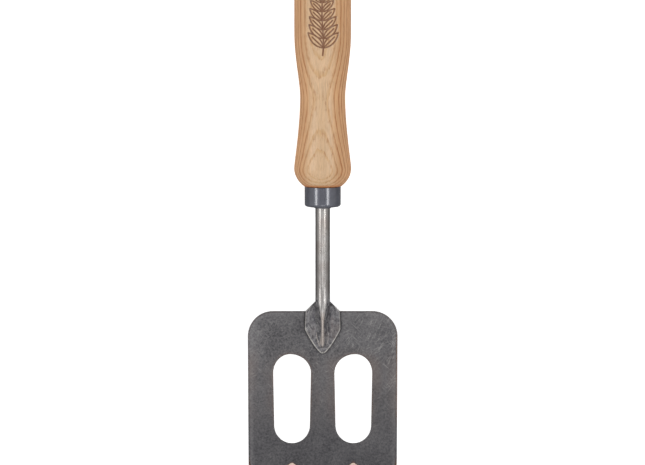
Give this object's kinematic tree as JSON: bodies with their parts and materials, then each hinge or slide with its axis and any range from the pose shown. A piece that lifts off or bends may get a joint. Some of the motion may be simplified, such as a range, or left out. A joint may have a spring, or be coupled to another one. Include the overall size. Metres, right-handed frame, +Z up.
{
  "type": "garden hand spork",
  "caption": "Garden hand spork: slotted, dished steel blade with ground tines, welded to a leaf-footed forged shank in a turned ash handle with a steel ferrule.",
  "frame": {"origin": "on the ground under the middle of the tool's length, with the tool lying on the back of its blade and the lower swell of its handle", "axes": "+X across the blade, +Y from the tines to the butt of the handle, +Z up out of the blade's front face"},
  "size_m": [0.084, 0.3402, 0.0433],
  "materials": {
    "blade_steel": "dark heat-treated scale, satin, with handling scratches and brown tinted edges",
    "forged_steel": "drawn and brushed neck, darker scale on the foot",
    "weld_steel": "fused, dull",
    "ferrule_steel": "blue-grey lacquer, glossy",
    "ash_wood": "turned ash, oiled, satin, with a burnt-in plant sprig"
  },
  "bodies": {
    "root": {"blade": "blade_steel", "shank": "forged_steel", "weld_nugget_left": "weld_steel", "weld_nugget_right": "weld_steel", "weld_nugget_tip": "weld_steel", "ferrule": "ferrule_steel", "handle": "ash_wood"}
  },
  "joints": []
}
